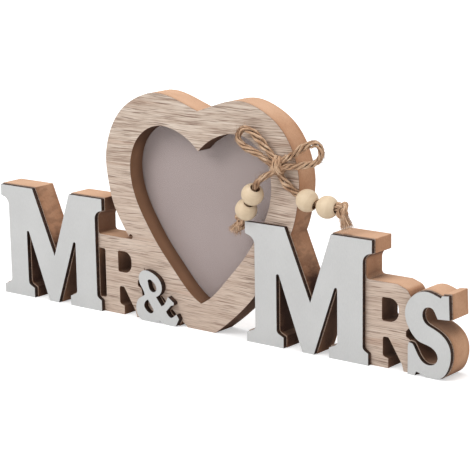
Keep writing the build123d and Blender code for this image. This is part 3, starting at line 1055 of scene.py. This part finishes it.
LOOP_LEFT = Stretch("twine_loop_left", "bow_loop_left", 68.7 * MM, FarEnd.BOW, "loose", 100, (
    (-2.5, -0.2, 4.2), (-8.2, -0.8, 9.4), (-14.6, -0.6, 15.6), (-20.5, -0.7, 20.4),
    (-26.0, -1.6, 21.6), (-29.8, -3.0, 17.8), (-27.6, -4.4, 12.9), (-21.5, -5.0, 9.8),
    (-14.0, -4.4, 7.4), (-8.0, -3.0, 3.6), (-2.5, -1.4, -0.4),
), ((0.24, 0.13, 0.75), (0.72, 0.1, 0.35)))
LOOP_RIGHT = Stretch("twine_loop_right", "bow_loop_right", 82.3 * MM, FarEnd.BOW, "loose", 120, (
    (1.2, -0.3, 2.3), (8.0, -1.0, 5.4), (14.8, -1.4, 9.8), (21.6, -2.2, 14.2),
    (28.4, -3.0, 17.2), (34.2, -3.9, 16.6), (37.2, -4.7, 12.0), (35.0, -5.2, 7.2),
    (28.8, -4.6, 4.2), (20.0, -3.4, 2.2), (10.5, -2.0, 0.6), (1.2, -0.6, -1.6),
), ((0.3, 0.14, 0.5), (0.7, 0.1, 0.3)))
TAIL_LEFT = Stretch("twine_tail_left", "tail_left", 51.5 * MM, FarEnd.KNOT, "hanging", 140, (
    (-1.5, -1.0, -3.6), (-5.2, -3.4, -5.8), (-10.9, -7.0, -9.6), (-15.3, -4.76, -15.53),
    (-33.3, 4.4, -39.8),
), beads=("bead_left_upper", "bead_left_lower"))
TAIL_RIGHT = Stretch("twine_tail_right", "tail_right", 50.7 * MM, FarEnd.KNOT, "hanging", 160, (
    (1.5, -0.6, -4.0), (3.4, -0.6, -8.6), (7.6, -0.2, -12.4), (14.0, 1.2, -17.4),
    (28.4, 1.6, -22.4), (45.2, 2.7, -22.6),
), ((0.2, 0.09, 0.9),), ("bead_right_inner", "bead_right_outer"))


@dataclass(frozen=True)
class TailEnd:
    """The knot and frayed brush at a tail's end, in millimetres.

    The drop runs from the tail's last point to the knot, and the reach on to the brush's end.
    """

    name: str
    node: str
    tail: Stretch
    drop: Triple
    reach: Triple
    seed: int


END_LEFT = TailEnd("twine_end_left", "tail_end_left", TAIL_LEFT,
                   (-0.4, 0.2, -0.6), (-4.4, -2.4, -8.0), 400)
END_RIGHT = TailEnd("twine_end_right", "tail_end_right", TAIL_RIGHT,
                    (1.2, 0.3, -0.8), (3.5, 0.4, -12.5), 430)


@dataclass(frozen=True)
class TwineBow:
    """The bow of jute twine: its knot, two loops, two tails and their frayed ends.

    Each turn of the knot has its shift along X, drift, depth and height in millimetres, and how
    late its drift comes, in radians.
    """

    diameter: float = 3.6 * MM
    knot_radius: float = 3.8 * MM
    level: Triple = (0.0, 1.0, 0.0)
    lay: Lay = Lay()
    knot_lay: Lay = Lay(ply_radius=1.1 * MM, offset=1.2 * MM)
    knot_points: int = 96
    knot_front: float = -0.4
    knot_seed: int = 300
    turns: tuple[tuple[float, ...], ...] = (
        (-1.7, 0.6, 1.7, 4.1, 0.0), (1.7, -0.5, 1.7, 3.9, 0.3), (0.0, 1.6, 2.1, 3.3, 0.6))
    end_lay: Lay = Lay(ply_radius=0.85 * MM, offset=0.95 * MM, pitch=16.0 * MM)
    end_points: int = 132
    end_size: Triple = (1.05, 1.35, 1.5)
    neck: float = 1.5 * MM
    fuzz: Fibres = Fibres(520, 0.09 * MM, (1.5 * MM, 5.5 * MM))
    fuzz_reach: float = 1.7 * MM
    locks: Fibres = Fibres(20, 0.6 * MM, rows=14, sides=8)
    locks_share: float = 0.9
    locks_width: Band = (1.6 * MM, 3.9 * MM)
    hairs: Fibres = Fibres(190, 0.1 * MM, rows=10)
    hairs_width: Band = (2.0 * MM, 4.9 * MM)

    def middle(self) -> Array:
        """Give the middle of the bow knot, whose back is cut flat where it is glued."""
        low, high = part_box("bow_knot")
        return np.array(((low.x + high.x) / 2, low.y + self.knot_radius, (low.z + high.z) / 2))

    def line(self, stretch: Stretch) -> Array:
        """Draw a stretch's smooth line: a NURBS curve of order 3 on its route's points.

        Args:
            stretch: The stretch.

        Returns:
            Evenly spaced points along the line.
        """
        route = self.middle() + np.array(stretch.route) * MM
        curve = bpy.data.curves.new(stretch.name + "_line", "CURVE")
        curve.dimensions = "3D"
        spline = curve.splines.new("NURBS")
        spline.points.add(len(route) - 1)
        spline.points.foreach_set("co", np.c_[route, np.ones(len(route))].ravel())
        spline.order_u = 3
        spline.use_endpoint_u = True
        spline.resolution_u = 16
        holder = bpy.data.objects.new(stretch.name + "_line", curve)
        mesh = bpy.data.meshes.new_from_object(holder)
        points = points_of(mesh)
        bpy.data.meshes.remove(mesh)
        bpy.data.objects.remove(holder)
        bpy.data.curves.remove(curve)
        count = max(24, round(float(arc_lengths(points)[-1]) / self.lay.step))
        return even(points, count)

    def build_stretch(self, stretch: Stretch, jute: Material) -> None:
        """Args:
            stretch: The stretch.
            jute: Its finish.
        """
        path = self.line(stretch)
        level = np.array(self.level)
        lay = replace(self.lay, opened=stretch.opened)
        piece = lay.cover(path, level, stretch.seed).piece(stretch.name, jute, stretch.node)
        fuzz = self.fuzz.along(path, level, self.fuzz_reach, stretch.seed + 50)
        hairs = fuzz.piece(stretch.name + "_fibres", jute)
        LOG.info("%s: line %.1f mm, stated %.1f mm", stretch.name,
                 float(arc_lengths(path)[-1]) / MM, stretch.length / MM)

    def build_knot(self, jute: Material) -> None:
        """Build the bow knot: two turns side by side and one across them.

        Each turn is a closed ellipse that stands up across the bow: y is depth times cos t and z
        is height times sin t, with x drifting as the sine of t.

        Args:
            jute: The knot's finish.
        """
        t = np.linspace(0.0, FULL_TURN, self.knot_points, endpoint=False)
        surface = Surface()
        for number, (shift, drift, depth, height, late) in enumerate(self.turns):
            ring = np.stack([shift + drift * np.sin(t + late), self.knot_front - depth * np.cos(t),
                             height * np.sin(t)], -1) * MM + self.middle()
            across = np.array((1.0, 0.0, 0.0))
            surface.add(self.knot_lay.cover(ring, across, self.knot_seed + number, closed=True))
        surface.piece("twine_bow_knot", jute, "bow_knot")

    def build_end(self, end: TailEnd, jute: Material, frayed: Material) -> list[Piece]:
        """Build the overhand knot and the frayed brush at a tail's end.

        The knot's line is a trefoil: x is sin t + 2 sin 2t, z is cos t - 2 cos 2t and y is the
        sine of 3t, each stretched to the knot's size.

        Args:
            end: The end.
            jute: The knot's finish.
            frayed: The brush's finish.

        Returns:
            The knot and the brush.
        """
        centre = self.middle() + (np.array(end.tail.route[-1]) + np.array(end.drop)) * MM
        way = np.array(end.reach) * MM
        t = np.linspace(0.0, FULL_TURN, self.end_points, endpoint=False)
        shape = np.stack([np.sin(t) + 2.0 * np.sin(2.0 * t), -np.sin(3.0 * t),
                          np.cos(t) - 2.0 * np.cos(2.0 * t)], -1)
        line = centre + shape * (np.array(self.end_size) * MM)
        knot = self.end_lay.cover(line, np.array(self.level), end.seed, closed=True)
        knot_piece = knot.piece(end.name + "_knot", jute, end.node)
        start = centre + unit(way) * self.neck
        rest = way - unit(way) * self.neck
        brush = self.locks.brush(start, rest * self.locks_share, *self.locks_width, end.seed + 5)
        brush.add(self.hairs.brush(start, rest, *self.hairs_width, end.seed + 7))
        return [knot_piece, brush.piece(end.name + "_brush", frayed)]

    def build(self) -> None:
        """Build the whole bow."""
        jute = Jute().material()
        # The brush takes a lighter copy of the jute, painted light that makes up for the shade
        # among its loose fibres, with little painted shade between plies.
        frayed = Jute("frayed_jute_painted_light", 0.12, shadow=srgb(156, 121, 96), brown=srgb(204, 167, 137),
                      straw=srgb(229, 197, 166), shine=srgb(240, 221, 196)).material()
        left = self.build_end(END_LEFT, jute, frayed)
        right = self.build_end(END_RIGHT, jute, frayed)
        self.build_knot(jute)
        self.build_stretch(LOOP_LEFT, jute)
        self.build_stretch(LOOP_RIGHT, jute)
        self.build_stretch(TAIL_LEFT, jute)
        self.build_stretch(TAIL_RIGHT, jute)


# --- Pieces whose shape is already right ---


def dress(node: str, material: Material) -> None:
    """Give a node its finish.

    Args:
        node: The node.
        material: The finish.
    """
    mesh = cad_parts[node].data
    mesh.materials.clear()
    mesh.materials.append(material)
    LOG.info("%s: %s", node, material.name)


@dataclass(frozen=True)
class LetterRow:
    """The board with its printed face, and the plates glued on it."""

    plates: tuple[str, ...] = ("plate_m_left", "plate_m_right", "plate_s", "plate_ampersand")

    def build(self) -> None:
        """Dress the board, its face and the plates."""
        dress("frame_block", CutFibreboard().material())
        dress("oak_face", OakPrint().material())
        whitewash = ScorchedWhitewash().material()
        for plate in self.plates:
            dress(plate, whitewash)


@dataclass(frozen=True)
class PicturePack:
    """What the window and the rebate hold, and the turn buttons that keep it in."""

    buttons: int = 4
    pane_share: float = 0.86
    screw_dull: Colour = srgb(140, 142, 148)

    def build_pane(self) -> None:
        """Build the clear sheet a little thinner, so that it doesn't share the paper's face.

        Each point keeps x and z, and its y is drawn towards the middle of the sheet's thickness.
        """
        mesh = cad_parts["clear_sheet"].data.copy()
        mesh.name = "window_pane"
        points = points_of(mesh)
        low, high = points[:, 1].min(), points[:, 1].max()
        middle = (low + high) / 2
        points[:, 1] = middle + (points[:, 1] - middle) * self.pane_share
        mesh.vertices.foreach_set("co", points.ravel())
        mesh.materials.clear()
        mesh.materials.append(ClearSheet().material())
        mesh.update()
        pane = placed("window_pane", mesh)
        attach(pane, ROOT_BODY)
        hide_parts("clear_sheet")
        LOG.info("window_pane: %.2f mm thick", (high - low) * self.pane_share / MM)

    def build(self) -> None:
        """Dress the sheets, the back board, the buttons and their screws."""
        self.build_pane()
        dress("photo_sheet", BlankPrint().material())
        dress("back_board", Hardboard().material())
        plated = ZincSteel("button_steel").material()
        for number in range(1, self.buttons + 1):
            dress(f"turn_button_{number}", plated)
        dress("button_screws", ZincSteel("screw_steel", dull=self.screw_dull).material())


@dataclass(frozen=True)
class Beads:
    """The four wooden beads, each with the direction of its bore."""

    left_axis: Triple = (-0.57011, 0.29014, -0.76863)
    inner_axis: Triple = (0.94435, 0.02623, -0.3279)
    outer_axis: Triple = (0.99779, 0.06533, -0.01188)

    def build(self) -> None:
        """Dress the beads."""
        axes = {"bead_left_upper": self.left_axis, "bead_left_lower": self.left_axis,
                "bead_right_inner": self.inner_axis, "bead_right_outer": self.outer_axis}
        for node, axis in axes.items():
            low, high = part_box(node)
            centre = tuple((low + high) / 2)
            dress(node, BeadWood(node.replace("bead", "wood"), centre, axis).material())


# --- Studio ---


@dataclass(frozen=True)
class Lamp:
    """One square soft lamp that points at the object."""

    name: str
    place: Triple
    size: float
    power: float


@dataclass(frozen=True)
class Studio:
    """Camera, lamps, pale floor and white surroundings."""

    camera_place: Triple = (0.696785, -0.866994, 0.319747)
    camera_right: Triple = (0.78888, 0.61436, -0.01534)
    camera_up: Triple = (-0.12583, 0.18591, 0.97448)
    camera_back: Triple = (0.60153, -0.76681, 0.22397)
    lens: float = 132.16
    sensor: float = 36.0
    clip_start: float = 0.01
    aim: Triple = (0.0, 0.0, 0.07)
    floor_half: float = 3.0
    floor_colour: Colour = srgb(236, 236, 236)
    glow_near: Colour = (0.45, 0.45, 0.45, 1.0)
    glow_reach: Band = (0.3, 1.4)
    ambient: float = 0.42
    lamps: tuple[Lamp, ...] = (
        Lamp("key", (-0.55, -1.15, 1.25), 1.0, 14.5),
        Lamp("fill", (1.3, -0.9, 0.7), 1.2, 4.0),
        Lamp("top", (0.15, 0.1, 1.4), 0.9, 9.0),
    )

    def add_camera(self) -> None:
        """Put the camera at the photograph's viewing angle."""
        data = bpy.data.cameras.new("camera")
        data.lens = self.lens
        data.sensor_width = self.sensor
        data.clip_start = self.clip_start
        camera = placed("camera", data)
        axes = Matrix((self.camera_right, self.camera_up, self.camera_back)).transposed()
        camera.matrix_world = Matrix.Translation(self.camera_place) @ axes.to_4x4()
        bpy.context.scene.camera = camera

    def add_lamps(self) -> None:
        """Hang the lamps, each turned to the object."""
        for lamp in self.lamps:
            data = bpy.data.lights.new(lamp.name, "AREA")
            data.shape = "SQUARE"
            data.size = lamp.size
            data.energy = lamp.power
            holder = placed(lamp.name, data)
            holder.location = lamp.place
            way = Vector(self.aim) - Vector(lamp.place)
            holder.rotation_euler = way.to_track_quat("-Z", "Y").to_euler()

    def add_floor(self) -> None:
        """Lay a pale floor that glows white, more so further out, but keeps a faint shadow."""
        mesh = bpy.data.meshes.new("floor")
        h = self.floor_half
        mesh.from_pydata([(-h, -h, 0), (h, -h, 0), (h, h, 0), (-h, h, 0)], [], [(0, 1, 2, 3)])
        floor = placed("floor", mesh)
        g = Graph("floor_white")
        seen = g.node("ShaderNodeLightPath", output="Is Camera Ray")
        matt = g.node("ShaderNodeBsdfDiffuse", inputs={"Color": self.floor_colour})
        away = g.vector("LENGTH", g.place(), output=1).fade(*self.glow_reach)
        far = g.blend(away, self.glow_near, WHITE)
        glow = g.node("ShaderNodeEmission", inputs={"Color": far, "Strength": 1.0})
        bright = g.node("ShaderNodeAddShader", inputs={0: matt, 1: glow})
        shader = g.node("ShaderNodeMixShader", inputs={0: seen, 1: matt, 2: bright})
        mesh.materials.append(g.finish(shader))

    def add_world(self) -> None:
        """Surround the object with soft light that camera, clear and mirror rays see as white."""
        g = Graph("surroundings", world=True)
        camera, through, mirror = (g.node("ShaderNodeLightPath", output=f"Is {kind} Ray")
                                   for kind in ("Camera", "Transmission", "Glossy"))
        soft = g.node("ShaderNodeBackground", inputs={"Color": WHITE, "Strength": self.ambient})
        white = g.node("ShaderNodeBackground", inputs={"Color": WHITE})
        seen = camera.most(through).most(mirror)
        mixed = g.node("ShaderNodeMixShader", inputs={0: seen, 1: soft, 2: white})
        bpy.context.scene.world = g.finish(mixed)

    def build(self) -> None:
        """Set up the whole studio."""
        bpy.context.scene.view_settings.view_transform = "Standard"
        self.add_camera()
        self.add_lamps()
        self.add_floor()
        self.add_world()


def main() -> None:
    """Dress the frame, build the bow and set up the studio."""
    logging.basicConfig(level=logging.INFO, format="%(message)s")
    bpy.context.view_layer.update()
    Studio().build()
    TwineBow().build()
    LetterRow().build()
    PicturePack().build()
    Beads().build()


if __name__ == "__main__":
    main()
